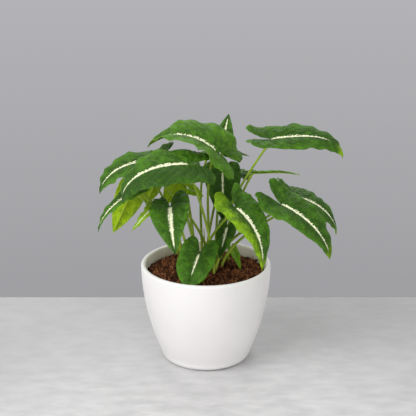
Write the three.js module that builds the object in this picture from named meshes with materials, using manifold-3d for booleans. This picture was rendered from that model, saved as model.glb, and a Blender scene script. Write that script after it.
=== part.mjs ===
// A potted syngonium: a round tapered pot, its soil, and a bushy plant of arrow-shaped leaves.
// Millimetres, +Z up, the foot of the pot on Z = 0, the viewer's side towards -Y.

import * as THREE from 'three';
import { mergeVertices } from 'three/addons/utils/BufferGeometryUtils.js';
import Module from 'manifold-3d';

const wasm = await Module();
wasm.setup();

// ---------------------------------------------------------------- driving dimensions

const POT = {
  rimRadius: 70,
  height: 108,
  taper: 24,          // how much narrower the wall line is at the foot than at the rim
  edgeRadius: 7,      // rounding between the wall and the flat foot
  wall: 5,
  floor: 7,
  segments: 48,
};

const SOIL = {
  edgeHeight: 95,     // where the soil meets the pot's wall
  moundHeight: 101,   // at the middle
  gap: 0.3,           // between the soil and the pot
  segments: 40,
};

const BLADE_THICKNESS = 1;
const STALK_RADIUS = 1.5;
const STALK_TOP_RADIUS = 1.2;
const STALK_DEPTH = 12;     // how far a stalk goes down into the soil
const STALK_SIDES = 6;
const STALK_RINGS = 8;
const CLEARANCE = 0.3;      // between pieces that touch on the real plant

// ---------------------------------------------------------------- the leaves

// Angles are in degrees. heading is where the leaf points, seen from above: 0 is +X and -90 is
// the viewer. pitch is its slope where the stalk joins, roll lifts its right-hand side. bend is
// how far it arches down from stalk to tip, curl is extra arch near the tip, lobeDrop is how far
// the two lobes behind the stalk hang. The folds lift each half, sweep curves the leaf to its
// right, twist lifts its right-hand side towards the tip, tipFold is added to both folds
// towards the tip, and full rounds out the long sides. stalkLean is how much the stalk comes
// from behind.
const LEAF = {
  pitch: 0,
  roll: 0,
  length: 60,
  halfWidth: 18,
  lobe: 22,
  bend: 30,
  curl: 0,
  lobeDrop: 10,
  foldLeft: 8,
  foldRight: 8,
  sweep: 0,
  twist: 0,
  tipFold: 0,
  full: 0,
  stalkLean: 0.5,
};

// at is where the stalk joins the blade, root is where the stalk leaves the soil.
const LEAVES = [
  { name: 'top_front', at: [10, -5, 233], root: [5, 2], heading: 182, pitch: 44, roll: 10,
    length: 80, halfWidth: 33, lobe: 30, bend: 76, curl: 20, lobeDrop: 12, foldLeft: 2, foldRight: 26,
    twist: -20, full: 0.3 },
  { name: 'left_front', at: [-18, -45, 230], root: [9, -18], heading: 196, pitch: 8, roll: 20,
    length: 93, halfWidth: 28, lobe: 28, bend: 66, curl: 52, foldLeft: -8, foldRight: 0, sweep: 4, full: 0.9 },
  { name: 'far_left', at: [-58, -8, 223], root: [6, 9], heading: 196, pitch: 4, roll: 8,
    length: 69, halfWidth: 21, lobe: 33, bend: 56, curl: 35, lobeDrop: -60, foldLeft: -6, full: 0.9 },
  { name: 'left_low', at: [-74, -20, 193], root: [-23, 3], heading: 195, pitch: -22, roll: 10,
    length: 60, halfWidth: 12, lobe: 14, bend: 42, curl: 20 },
  { name: 'left_underside', at: [-78, 6, 187], root: [-20, 10], heading: 145, pitch: -62, roll: -60,
    length: 58, halfWidth: 16, lobe: 12, bend: 10, full: 0.4, stalkLean: 1.5 },
  { name: 'left_small', at: [-53, -30, 180], root: [-24, -12], heading: 200, pitch: -38,
    length: 34, halfWidth: 12, lobe: 9, bend: 12 },
  { name: 'front_left', at: [-36, -46, 185], root: [-16, -10], heading: -87, pitch: -20, roll: -16,
    length: 60, halfWidth: 21, lobe: 21, bend: 22, curl: 15 },
  { name: 'front_low', at: [-7, -32, 129], root: [-3, -15], heading: -111, pitch: -32, roll: 8,
    length: 42, halfWidth: 20, lobe: 19, bend: 18, lobeDrop: -20, full: 1.4, stalkLean: 0.9 },
  { name: 'front_right', at: [31, -46, 184], root: [-4, 4], heading: -43, pitch: -20, roll: -8,
    length: 72, halfWidth: 23, lobe: 26, bend: 44, curl: 20, sweep: 28, lobeDrop: -75 },
  { name: 'right_front', at: [77, -42, 187], root: [11, 7.5], heading: -35, pitch: -12, roll: -18,
    length: 82, halfWidth: 24, lobe: 28, bend: 58, curl: 30, lobeDrop: -60, foldLeft: 0, full: 0.2 },
  { name: 'right_back', at: [96, -8, 184], root: [15.5, 3], heading: -25, pitch: -4, roll: -20,
    length: 66, halfWidth: 20, lobe: 28, bend: 78, curl: 20, lobeDrop: -55, foldLeft: -14 },
  { name: 'top_right', at: [68, 2, 244], root: [8, 2], heading: -5, pitch: 10, roll: -22,
    length: 92, halfWidth: 20, lobe: 28, bend: 16, curl: 90, lobeDrop: -40, twist: -16, tipFold: -30,
    full: 0.8, stalkLean: 0.8 },
  { name: 'top_back', at: [17, 42, 222], root: [0, 33], heading: 75, pitch: 50,
    length: 46, halfWidth: 13, lobe: 9, bend: 10 },
  { name: 'top_right_back', at: [4, 60, 216], root: [-4, 39], heading: 8, pitch: 2,
    length: 46, halfWidth: 14, lobe: 12, bend: 25 },
  { name: 'right_level', at: [50, 36, 198], root: [16, 26], heading: 3, roll: 18,
    length: 53, halfWidth: 14, lobe: 10, bend: -4, curl: 25, lobeDrop: 0, foldLeft: 2, foldRight: 2 },
  { name: 'centre_back', at: [18, 32, 199], root: [10, 22], heading: -88, pitch: -62,
    length: 54, halfWidth: 20, lobe: 12, bend: 8, stalkLean: 0.9 },
  { name: 'low_right', at: [23, -7, 150], root: [9, -7], heading: -122, pitch: -58,
    length: 35, halfWidth: 12, lobe: 9, bend: 8, stalkLean: 0.9 },
  { name: 'hanging_small', at: [28, 16, 119], root: [24, 20], heading: -68, pitch: -28,
    length: 31, halfWidth: 6, lobe: 4, bend: 12, stalkLean: 0.9 },
  { name: 'left_behind', at: [-30, 22, 194], root: [-12, 12], heading: 145, pitch: -60, roll: -55,
    length: 40, halfWidth: 12, lobe: 10, bend: 5, stalkLean: 1.5 },
  { name: 'centre_young', at: [-17, -9, 193], root: [-6, -11], heading: -15, pitch: -20, roll: -35,
    length: 17, halfWidth: 7, lobe: 5, bend: 20 },
  { name: 'left_inner', at: [-56, 24, 187], root: [-24, 18], heading: 130, pitch: -60, roll: -40,
    length: 30, halfWidth: 9, lobe: 8, bend: 10, stalkLean: 1.2 },
  { name: 'back_middle', at: [-26, 54, 203], root: [-12, 32], heading: 112, pitch: 5,
    length: 54, halfWidth: 18, lobe: 20 },
  { name: 'back_right', at: [34, 58, 188], root: [12, 34], heading: 97, pitch: 0,
    length: 50, halfWidth: 16, lobe: 18 },
  { name: 'back_left', at: [-40, 56, 178], root: [-32, 50], heading: 150, pitch: -5,
    length: 52, halfWidth: 16, lobe: 18 },
];

// Young growth with no blade yet: a tapered spear from the soil to its tip.
const SPEARS = [
  { name: 'furled_leaf', root: [-1, -9], tip: [-2, -11, 150] },
  { name: 'new_shoot', root: [-3, -38], tip: [-4, -41, 107] },
];
const SPEAR_RADIUS = 1.6;
const SPEAR_TIP_RADIUS = 0.6;

// ---------------------------------------------------------------- geometry helpers

const radians = THREE.MathUtils.degToRad;

// Equal points become one, and faces that shrink to a line are left out.
function welded(geometry) {
  const merged = mergeVertices(geometry, 1e-3);
  const corners = merged.index.array;
  const kept = [];
  for (let i = 0; i < corners.length; i += 3) {
    const [a, b, c] = corners.slice(i, i + 3);
    if (a !== b && b !== c && c !== a) kept.push(a, b, c);
  }
  merged.setIndex(kept);
  return merged;
}

function closedGeometry(points, faces) {
  const coordinates = points.flatMap((point) => point.toArray());
  const geometry = new THREE.BufferGeometry();
  geometry.setAttribute('position', new THREE.Float32BufferAttribute(coordinates, 3));
  geometry.setIndex(faces.flat());
  const closed = welded(geometry);
  closed.computeVertexNormals();
  return closed;
}

function toManifold(geometry) {
  const bare = new THREE.BufferGeometry();
  bare.setAttribute('position', geometry.attributes.position);
  bare.setIndex(geometry.index);
  const closed = welded(bare);
  return new wasm.Manifold(new wasm.Mesh({
    numProp: 3,
    vertProperties: new Float32Array(closed.attributes.position.array),
    triVerts: new Uint32Array(closed.index.array),
  }));
}

function fromManifold(solid) {
  const mesh = solid.getMesh();
  const geometry = new THREE.BufferGeometry();
  geometry.setAttribute('position', new THREE.Float32BufferAttribute(mesh.vertProperties, 3));
  geometry.setIndex(Array.from(mesh.triVerts));
  geometry.computeVertexNormals();
  return geometry;
}

// A profile of [radius, height] points, from the axis and back to it, turned about Z.
function turned(profile, segments) {
  const line = profile.map(([radius, height]) => new THREE.Vector2(radius, height));
  return new THREE.LatheGeometry(line, segments).rotateX(Math.PI / 2);
}

// A round bar along a stretch of a curve, with a flat cap at each end. The last cap is cut
// parallel to a surface when that surface's normal is given.
function bar(curve, { from = 0, to = 1, radii, sides, rings, endNormal }) {
  const points = [];
  const faces = [];
  const side = new THREE.Vector3(1, 0, 0);
  for (let i = 0; i <= rings; i++) {
    const t = THREE.MathUtils.lerp(from, to, i / rings);
    const centre = curve.getPoint(t);
    const tangent = curve.getTangent(THREE.MathUtils.clamp(t, 0, 1));
    side.addScaledVector(tangent, -side.dot(tangent)).normalize();
    const other = new THREE.Vector3().crossVectors(tangent, side);
    const radius = THREE.MathUtils.lerp(radii[0], radii[1], i / rings);
    for (let k = 0; k < sides; k++) {
      const angle = (2 * Math.PI * k) / sides;
      const point = centre.clone()
        .addScaledVector(side, radius * Math.cos(angle))
        .addScaledVector(other, radius * Math.sin(angle));
      if (i === rings && endNormal) {
        const over = point.clone().sub(centre).dot(endNormal);
        point.addScaledVector(tangent, -over / tangent.dot(endNormal));
      }
      points.push(point);
    }
  }
  for (let i = 0; i < rings; i++) {
    for (let k = 0; k < sides; k++) {
      const a = i * sides + k;
      const b = i * sides + ((k + 1) % sides);
      faces.push([a, b, b + sides], [a, b + sides, a + sides]);
    }
  }
  const last = rings * sides;
  for (let k = 1; k < sides - 1; k++) {
    faces.push([0, k + 1, k], [last, last + k, last + k + 1]);
  }
  return closedGeometry(points, faces);
}

// ---------------------------------------------------------------- pot and soil

// The wall's outer radius at a height: widest at the rim, curving in towards the foot.
function outerRadius(height) {
  const below = 1 - height / POT.height;
  return POT.rimRadius - POT.taper * below * below;
}

function innerRadius(height) {
  return outerRadius(height) - POT.wall;
}

function potGeometry() {
  const { height, wall, floor, edgeRadius } = POT;
  const rimCentre = height - wall / 2;
  const profile = [[0, 0]];
  const footRadius = outerRadius(edgeRadius) - edgeRadius;
  for (let i = 0; i <= 3; i++) {
    const angle = (Math.PI / 2) * (i / 3);
    profile.push([footRadius + edgeRadius * Math.sin(angle), edgeRadius * (1 - Math.cos(angle))]);
  }
  for (const share of [0.2, 0.4, 0.6, 0.8, 1]) {
    const z = THREE.MathUtils.lerp(edgeRadius, rimCentre, share);
    profile.push([outerRadius(z), z]);
  }
  for (const angle of [45, 90, 135].map(radians)) {
    const middle = outerRadius(rimCentre) - wall / 2;
    profile.push([middle + (wall / 2) * Math.cos(angle), rimCentre + (wall / 2) * Math.sin(angle)]);
  }
  for (const share of [1, 0.75, 0.5, 0.25, 0]) {
    const z = THREE.MathUtils.lerp(floor, rimCentre, share);
    profile.push([innerRadius(z), z]);
  }
  profile.push([0, floor]);
  return turned(profile, POT.segments);
}

// The top of the soil at a distance from the axis: a low mound.
function soilHeight(radius) {
  const share = Math.min(radius / innerRadius(SOIL.edgeHeight), 1);
  return SOIL.moundHeight - (SOIL.moundHeight - SOIL.edgeHeight) * share * share;
}

function soilGeometry(pockets) {
  const bottom = POT.floor + SOIL.gap;
  const profile = [[0, bottom]];
  for (const share of [0, 0.25, 0.5, 0.75, 1]) {
    const z = THREE.MathUtils.lerp(bottom, SOIL.edgeHeight, share);
    profile.push([innerRadius(z) - SOIL.gap * 1.5, z]);
  }
  for (const share of [0.66, 0.33]) {
    const radius = share * innerRadius(SOIL.edgeHeight);
    profile.push([radius, soilHeight(radius)]);
  }
  profile.push([0, SOIL.moundHeight]);
  let soil = toManifold(turned(profile, SOIL.segments));
  for (const pocket of pockets) soil = soil.subtract(toManifold(pocket));
  return fromManifold(soil);
}

// ---------------------------------------------------------------- one leaf blade

// Half of the flat outline as three curves: the edge of the notch behind the stalk, the round
// lobe, and the long side to the tip. x is in half widths, y in lengths ahead of the stalk and
// in lobe lengths behind it.
const NOTCH = new THREE.CubicBezierCurve(
  new THREE.Vector2(0, 0), new THREE.Vector2(0.10, -0.35),
  new THREE.Vector2(0.20, -0.95), new THREE.Vector2(0.58, -1.0));
const LOBE_SIDE = new THREE.CubicBezierCurve(
  new THREE.Vector2(0.58, -1.0), new THREE.Vector2(0.90, -1.0),
  new THREE.Vector2(1.0, -0.40), new THREE.Vector2(1.0, 0.06));
const longSide = (full) => new THREE.CubicBezierCurve(
  new THREE.Vector2(1.0, 0.06), new THREE.Vector2(1.0, 0.36 + 0.2 * full),
  new THREE.Vector2(0.36 + 0.2 * full, 0.80), new THREE.Vector2(0, 1));
const LOBE_RAYS = 3;
const LONG_RAYS = 6;
const ACROSS = 2;
const SPINE_STEPS = 40;

// The leaf's own axes where the stalk joins it: forward along the midrib, right, and up.
function leafAxes(leaf) {
  const heading = radians(leaf.heading);
  const pitch = radians(leaf.pitch);
  const roll = radians(leaf.roll);
  const forward = new THREE.Vector3(
    Math.cos(heading) * Math.cos(pitch), Math.sin(heading) * Math.cos(pitch), Math.sin(pitch));
  const flatUp = new THREE.Vector3(
    -Math.cos(heading) * Math.sin(pitch), -Math.sin(heading) * Math.sin(pitch), Math.cos(pitch));
  const flatRight = new THREE.Vector3().crossVectors(forward, flatUp);
  const right = flatRight.clone().multiplyScalar(Math.cos(roll)).addScaledVector(flatUp, Math.sin(roll));
  const up = flatUp.clone().multiplyScalar(Math.cos(roll)).addScaledVector(flatRight, -Math.sin(roll));
  return { forward, right, up };
}

// How far the midrib has arched down at a share of the leaf's length; the lobes are behind 0.
function archAngle(leaf, share) {
  if (share < 0) return radians(leaf.lobeDrop) * share * (leaf.length / leaf.lobe);
  return radians(leaf.bend) * share + radians(leaf.curl) * share ** 3;
}

// Where the midrib line is at a share of the length, and the blade's right and up there.
function spine(leaf, axes, share) {
  const { forward, right, up } = axes;
  const middle = new THREE.Vector3(...leaf.at);
  const step = (leaf.length * share) / SPINE_STEPS;
  for (let i = 0; i < SPINE_STEPS; i++) {
    const angle = archAngle(leaf, (share * (i + 0.5)) / SPINE_STEPS);
    middle.addScaledVector(forward, step * Math.cos(angle)).addScaledVector(up, -step * Math.sin(angle));
  }
  const ahead = Math.max(share, 0);
  middle.addScaledVector(right, 0.5 * radians(leaf.sweep) * leaf.length * ahead * ahead);
  const angle = archAngle(leaf, share);
  const archedUp = up.clone().multiplyScalar(Math.cos(angle)).addScaledVector(forward, Math.sin(angle));
  const twist = radians(leaf.twist) * ahead;
  return {
    middle,
    right: right.clone().multiplyScalar(Math.cos(twist)).addScaledVector(archedUp, Math.sin(twist)),
    up: archedUp.clone().multiplyScalar(Math.cos(twist)).addScaledVector(right, -Math.sin(twist)),
  };
}

// A flat point of the blade carried onto the arched and folded one.
function bladePoint(leaf, axes, x, y, side, depth) {
  const share = y > 0 ? y : (y * leaf.lobe) / leaf.length;
  const at = spine(leaf, axes, share);
  const fold = radians((side > 0 ? leaf.foldRight : leaf.foldLeft) + leaf.tipFold * Math.max(share, 0));
  const out = x * leaf.halfWidth;
  return at.middle
    .addScaledVector(at.right, side * out * Math.cos(fold))
    .addScaledVector(at.up, out * Math.sin(fold) - depth);
}

// The flat grid of half a blade. Each row is a ray from the midrib to the margin; the lobe's
// rays all start where the stalk joins, and the first one follows the notch.
function flatRays(full) {
  const rays = [];
  for (let i = 0; i < LOBE_RAYS + LONG_RAYS; i++) {
    const lobePart = i < LOBE_RAYS;
    const t = lobePart ? i / LOBE_RAYS : (i - LOBE_RAYS) / (LONG_RAYS - 1);
    const margin = (lobePart ? LOBE_SIDE : longSide(full)).getPoint(t);
    const start = new THREE.Vector2(0, lobePart ? 0 : t);
    const notchShare = lobePart ? (1 - t) ** 2 : 0;
    const ray = [];
    for (let k = 0; k <= ACROSS; k++) {
      const v = k / ACROSS;
      const point = start.clone().lerp(margin, v);
      const straight = NOTCH.getPoint(1).multiplyScalar(v);
      point.add(NOTCH.getPoint(v).sub(straight).multiplyScalar(notchShare));
      ray.push(point);
    }
    rays.push(ray);
  }
  return rays;
}

function bladeGeometry(leaf) {
  const axes = leafAxes(leaf);
  const rays = flatRays(leaf.full);
  const points = [];
  const faces = [];
  const row = ACROSS + 1;
  const layer = rays.length * row;
  for (const side of [1, -1]) {
    const first = points.length;
    for (const depth of [0, BLADE_THICKNESS]) {
      for (const ray of rays) {
        for (const { x, y } of ray) points.push(bladePoint(leaf, axes, x, y, side, depth));
      }
    }
    const quad = (a, b, c, d) => {
      const corners = side > 0 ? [a, b, c, d] : [d, c, b, a];
      faces.push([corners[0], corners[1], corners[2]], [corners[0], corners[2], corners[3]]);
    };
    for (let i = 0; i < rays.length - 1; i++) {
      for (let k = 0; k < ACROSS; k++) {
        const a = first + i * row + k;
        quad(a, a + 1, a + row + 1, a + row);
        quad(a + layer + row, a + layer + row + 1, a + layer + 1, a + layer);
      }
      const edge = first + i * row + ACROSS;
      quad(edge, edge + layer, edge + layer + row, edge + row);
    }
    for (let k = 0; k < ACROSS; k++) {
      const notch = first + k;
      quad(notch, notch + layer, notch + layer + 1, notch + 1);
    }
  }
  return closedGeometry(points, faces);
}

// ---------------------------------------------------------------- one stalk

// From its pocket in the soil, up, and on to the underside of its blade from behind.
function stalkCurve(leaf) {
  const { forward, up } = leafAxes(leaf);
  const [rootX, rootY] = leaf.root;
  const ground = soilHeight(Math.hypot(rootX, rootY));
  const bottom = new THREE.Vector3(rootX, rootY, ground - STALK_DEPTH);
  const lowestFold = Math.max(0, -Math.min(leaf.foldLeft, leaf.foldRight));
  const gap = BLADE_THICKNESS + CLEARANCE + 2 * STALK_TOP_RADIUS * Math.sin(radians(lowestFold));
  const top = new THREE.Vector3(...leaf.at).addScaledVector(up, -gap);
  const rise = top.distanceTo(bottom);
  const arrival = up.clone().addScaledVector(forward, leaf.stalkLean).normalize();
  const lower = bottom.clone().add(new THREE.Vector3(0, 0, 0.4 * rise));
  const upper = top.clone().addScaledVector(arrival, -0.3 * rise);
  return new THREE.CubicBezierCurve3(bottom, lower, upper, top);
}

function stalkGeometry(leaf) {
  return bar(stalkCurve(leaf), {
    radii: [STALK_RADIUS, STALK_TOP_RADIUS],
    sides: STALK_SIDES,
    rings: STALK_RINGS,
    endNormal: leafAxes(leaf).up,
  });
}

// A spear's line, bent a little out of the upright.
function spearCurve(spear) {
  const [rootX, rootY] = spear.root;
  const ground = soilHeight(Math.hypot(rootX, rootY));
  const bottom = new THREE.Vector3(rootX, rootY, ground - STALK_DEPTH);
  const middle = new THREE.Vector3(rootX, rootY, (ground + spear.tip[2]) / 2);
  return new THREE.QuadraticBezierCurve3(bottom, middle, new THREE.Vector3(...spear.tip));
}

function spearGeometry(spear) {
  const radii = [SPEAR_RADIUS, SPEAR_TIP_RADIUS];
  return bar(spearCurve(spear), { radii, sides: STALK_SIDES, rings: 5 });
}

// The hole that a stalk stands in: a wider bar along the same curve, from below its foot to
// well above the soil.
function pocketGeometry(curve, to) {
  const radius = SPEAR_RADIUS + 2 * CLEARANCE;
  return bar(curve, { from: -0.01, to, radii: [radius, radius], sides: 8, rings: 3 });
}

// ---------------------------------------------------------------- the object

const GLAZE = { color: 0xeceae8, roughness: 0.35, metalness: 0 };
const EARTH = { color: 0x3b2218, roughness: 0.95, metalness: 0 };
const GREEN = { color: 0x2f6326, roughness: 0.5, metalness: 0 };
const STALK_GREEN = { color: 0x7f9a3c, roughness: 0.5, metalness: 0 };

const plant = new THREE.Group();
plant.name = 'potted_syngonium';

function add(name, geometry, finish) {
  const mesh = new THREE.Mesh(geometry, new THREE.MeshStandardMaterial(finish));
  mesh.name = name;
  plant.add(mesh);
}

const leaves = LEAVES.map((leaf) => ({ ...LEAF, ...leaf }));
add('pot', potGeometry(), GLAZE);
const pockets = [
  ...leaves.map((leaf) => pocketGeometry(stalkCurve(leaf), 0.35)),
  ...SPEARS.map((spear) => pocketGeometry(spearCurve(spear), 0.95)),
];
add('soil', soilGeometry(pockets), EARTH);
for (const leaf of leaves) {
  add(`leaf_${leaf.name}`, bladeGeometry(leaf), GREEN);
  add(`stalk_${leaf.name}`, stalkGeometry(leaf), STALK_GREEN);
}

for (const spear of SPEARS) add(spear.name, spearGeometry(spear), STALK_GREEN);

export default plant;
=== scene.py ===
# %% [markdown]
# # A syngonium in a white pot
#
# A syngonium is a climbing house plant with arrow-shaped leaves. Each leaf has a pale stripe
# along its midrib and hangs on a long thin stalk. The measured model gives the size and the
# place of everything. This lesson makes the looks around it, piece by piece.

# %% Load the measured model
import math

import bmesh
import bpy
import numpy as np
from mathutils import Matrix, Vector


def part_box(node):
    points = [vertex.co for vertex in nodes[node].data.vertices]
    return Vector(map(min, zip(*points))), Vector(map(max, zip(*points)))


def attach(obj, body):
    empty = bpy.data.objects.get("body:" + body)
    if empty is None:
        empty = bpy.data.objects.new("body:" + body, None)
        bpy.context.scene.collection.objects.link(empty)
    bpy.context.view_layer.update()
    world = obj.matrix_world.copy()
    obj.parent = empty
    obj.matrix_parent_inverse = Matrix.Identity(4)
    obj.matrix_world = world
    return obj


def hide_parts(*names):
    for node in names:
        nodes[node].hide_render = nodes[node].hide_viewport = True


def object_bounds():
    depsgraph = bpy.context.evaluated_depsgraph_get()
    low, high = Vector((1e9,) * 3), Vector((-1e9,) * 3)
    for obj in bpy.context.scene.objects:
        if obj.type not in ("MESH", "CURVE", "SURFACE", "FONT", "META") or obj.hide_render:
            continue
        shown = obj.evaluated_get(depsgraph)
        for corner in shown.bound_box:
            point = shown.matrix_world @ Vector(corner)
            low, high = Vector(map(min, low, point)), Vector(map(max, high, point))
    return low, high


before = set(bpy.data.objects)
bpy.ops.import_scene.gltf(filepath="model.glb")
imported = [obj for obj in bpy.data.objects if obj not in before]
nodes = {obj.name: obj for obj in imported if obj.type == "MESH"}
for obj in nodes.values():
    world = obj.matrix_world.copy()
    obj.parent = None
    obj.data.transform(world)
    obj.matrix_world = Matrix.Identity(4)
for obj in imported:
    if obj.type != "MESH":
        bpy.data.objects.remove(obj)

MM = 0.001
cad_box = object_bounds()
cad_low, cad_high = (np.array(corner) for corner in cad_box)
print("measured pieces:", len(nodes), "box in mm:", cad_low / MM, cad_high / MM)

# %% [markdown]
# ## The table, the light and the camera
#
# A plant is usually pictured on a table, from a little above its rim. The table is a plain
# pale top that ends just behind the pot. The wall further back is only a grey world, darker
# low down: a real wall would hide the plant from a camera behind it. The world gives soft
# light from all sides, and a wide lamp at the upper left gives the shapes a lighter and a
# darker side. A weak lamp at the front right reaches in under the leaves, and another one
# behind the plant lights the far edges.

# %% Camera
CAMERA_AIM = np.array([0.0023, 0.0, 0.169])
CAMERA_DISTANCE = 1.061
CAMERA_ELEVATION = math.radians(18.3)
FILM_WIDTH = 36.0           # mm, the usual full film width
LENS = 86.5                 # mm

camera = bpy.data.objects.new("camera", bpy.data.cameras.new("camera"))
camera.data.sensor_width = FILM_WIDTH
camera.data.lens = LENS
back_off = np.array([0.0, -math.cos(CAMERA_ELEVATION), math.sin(CAMERA_ELEVATION)])
camera.location = CAMERA_AIM + CAMERA_DISTANCE * back_off
camera.rotation_euler = (math.pi / 2 - CAMERA_ELEVATION, 0.0, 0.0)
bpy.context.scene.collection.objects.link(camera)
bpy.context.scene.camera = camera
bpy.context.scene.view_settings.view_transform = "Standard"
print("camera at", tuple(round(value, 3) for value in camera.location))

# %% World and lamps
WALL_LOW = (0.335, 0.335, 0.35, 1.0)
WALL_HIGH = (0.455, 0.455, 0.475, 1.0)
WALL_LOW_LOOK, WALL_HIGH_LOOK = -0.42, -0.10    # upward part of the look where each grey is
SKY_COLOUR = (1.0, 0.99, 0.98, 1.0)
SKY_STRENGTH = 0.66
LAMPS = {
    "window": dict(place=(-0.95, -0.75, 1.00), aim=(0, 0, 0.12), size=0.9, power=15.0),
    "fill": dict(place=(0.55, -1.25, 0.50), aim=(0, 0, 0.11), size=0.9, power=5.0),
    "back_light": dict(place=(0.1, 0.9, 1.1), aim=(0, 0, 0.2), size=0.8, power=4.0),
}

world = bpy.data.worlds.new("studio")
world.use_nodes = True
bpy.context.scene.world = world
sky = world.node_tree
sky.nodes.clear()
world_out = sky.nodes.new("ShaderNodeOutputWorld")
choose = sky.nodes.new("ShaderNodeMixShader")
seen = sky.nodes.new("ShaderNodeLightPath")
soft_sky = sky.nodes.new("ShaderNodeBackground")
soft_sky.inputs["Color"].default_value = SKY_COLOUR
soft_sky.inputs["Strength"].default_value = SKY_STRENGTH
wall = sky.nodes.new("ShaderNodeBackground")
look = sky.nodes.new("ShaderNodeTexCoord")
upward = sky.nodes.new("ShaderNodeSeparateXYZ")
climb = sky.nodes.new("ShaderNodeMapRange")
climb.inputs["From Min"].default_value = WALL_LOW_LOOK
climb.inputs["From Max"].default_value = WALL_HIGH_LOOK
greys = sky.nodes.new("ShaderNodeMix")
greys.data_type = "RGBA"
greys.inputs[6].default_value = WALL_LOW
greys.inputs[7].default_value = WALL_HIGH
sky.links.new(look.outputs["Generated"], upward.inputs[0])
sky.links.new(upward.outputs["Z"], climb.inputs["Value"])
sky.links.new(climb.outputs["Result"], greys.inputs[0])
sky.links.new(greys.outputs[2], wall.inputs["Color"])
sky.links.new(seen.outputs["Is Camera Ray"], choose.inputs[0])
sky.links.new(soft_sky.outputs[0], choose.inputs[1])
sky.links.new(wall.outputs[0], choose.inputs[2])
sky.links.new(choose.outputs[0], world_out.inputs["Surface"])


def soft_lamp(name, place, aim, size, power):
    """A square lamp of the given size in metres that faces from its place to the aim."""
    lamp = bpy.data.objects.new(name, bpy.data.lights.new(name, "AREA"))
    lamp.data.size = size
    lamp.data.energy = power
    lamp.location = place
    toward = lamp.location - type(lamp.location)(aim)
    lamp.rotation_euler = toward.to_track_quat("Z", "Y").to_euler()
    bpy.context.scene.collection.objects.link(lamp)


for name, lamp in LAMPS.items():
    soft_lamp(name, **lamp)
print("lamps:", list(LAMPS))

# %% [markdown]
# ## Helpers for surfaces
#
# Every piece of the plant is a surface that is worked out as whole arrays of points: a grid
# with two parameters, or a profile carried along a path. One helper joins the grid's points
# into four-sided faces, and another puts points, faces and painted values into a mesh. Points
# that fall together, such as a tip or a pole, are welded there, so every shape is closed.

# %% Grids and meshes
def grid_faces(rows, columns, wrap=False):
    """Corner numbers of the faces between neighbouring rows and columns of a point grid.
    With wrap, the last column joins the first."""
    across = np.arange(columns if wrap else columns - 1)[None, :]
    down = np.arange(rows - 1)[:, None] * columns
    beside = (across + 1) % columns
    corners = [down + across, down + beside, down + columns + beside, down + columns + across]
    return np.stack(corners, -1).reshape(-1, 4)


def mesh_piece(name, points, faces, painted=None, materials=(), weld=0.00001):
    """An object from points in metres, four-cornered faces, and sets of three values painted
    on the points."""
    mesh = bpy.data.meshes.new(name)
    mesh.from_pydata(points.reshape(-1, 3).tolist(), [], faces.tolist())
    for label, values in (painted or {}).items():
        store = mesh.attributes.new(label, "FLOAT_VECTOR", "POINT")
        store.data.foreach_set("vector", values.astype(np.float32).ravel())
    shape = bmesh.new()
    shape.from_mesh(mesh)
    bmesh.ops.remove_doubles(shape, verts=shape.verts, dist=weld)
    bmesh.ops.dissolve_degenerate(shape, edges=shape.edges, dist=weld)
    shape.to_mesh(mesh)
    shape.free()
    mesh.shade_smooth()
    for material in materials:
        mesh.materials.append(material)
    piece = bpy.data.objects.new(name, mesh)
    bpy.context.scene.collection.objects.link(piece)
    return piece


def tube_points(paths, radii, beside, sides):
    """Rings round the points of each path. A ring's two directions are the part of beside that
    is square to the path, and the cross product of the path's direction with that."""
    along = np.gradient(paths, axis=-2)
    along /= np.linalg.norm(along, axis=-1, keepdims=True)
    first = beside - (beside * along).sum(-1, keepdims=True) * along
    first /= np.linalg.norm(first, axis=-1, keepdims=True)
    second = np.cross(along, first)
    turn = np.linspace(0, 2 * math.pi, sides, endpoint=False)[:, None]
    round_it = np.cos(turn) * first[..., None, :] + np.sin(turn) * second[..., None, :]
    return paths[..., None, :] + radii[..., None, None] * round_it


def many_faces(count, rows, columns):
    """The faces of count equal closed tubes, one after the other."""
    one = grid_faces(rows, columns, wrap=True)
    return (one[None] + (np.arange(count) * rows * columns)[:, None, None]).reshape(-1, 4)


def measured_points(name):
    """The corners of a measured node's mesh, in mm."""
    mesh = nodes[name].data
    corners = np.zeros(len(mesh.vertices) * 3, np.float32)
    mesh.vertices.foreach_get("co", corners)
    return corners.reshape(-1, 3) / MM


def smooth_step(low, high, value):
    """0 below low, 1 above high, and the curve 3t^2 - 2t^3 between them."""
    t = np.clip((value - low) / (high - low), 0, 1)
    return t * t * (3 - 2 * t)


def ripples(x, y, size, seed, waves=28):
    """Uneven relief, mostly between -1 and 1: waves of about the given size, each with its own
    direction and start, added up and divided by the square root of their number."""
    luck = np.random.default_rng(seed)
    turn = luck.uniform(0, 2 * math.pi, waves)
    pace = luck.uniform(0.6, 1.6, waves) * 2 * math.pi / size
    start = luck.uniform(0, 2 * math.pi, waves)
    phase = (x[..., None] * np.cos(turn) + y[..., None] * np.sin(turn)) * pace + start
    return np.sin(phase).sum(-1) / math.sqrt(waves)


# %% [markdown]
# ## Helpers for finishes
#
# A finish is a small network of nodes. The same uneven patchiness shows on leaves, stalks,
# glaze and soil at different sizes, so it is built once as a node group with a count of
# patches per metre and two limits, and every material places it with its own values.

# %% Node helpers and the patchiness group
def node(tree, kind, links=None, **values):
    """A node with its settings, and with sockets linked or filled from links by name."""
    made = tree.nodes.new(kind)
    for label, value in values.items():
        setattr(made, label, value)
    for label, source in (links or {}).items():
        socket = made.inputs[label]
        if isinstance(source, bpy.types.NodeSocket):
            tree.links.new(source, socket)
        else:
            socket.default_value = source
    return made


def calc(tree, operation, *terms):
    """The value of one Math node."""
    made = node(tree, "ShaderNodeMath", dict(enumerate(terms)), operation=operation)
    return made.outputs[0]


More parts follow.
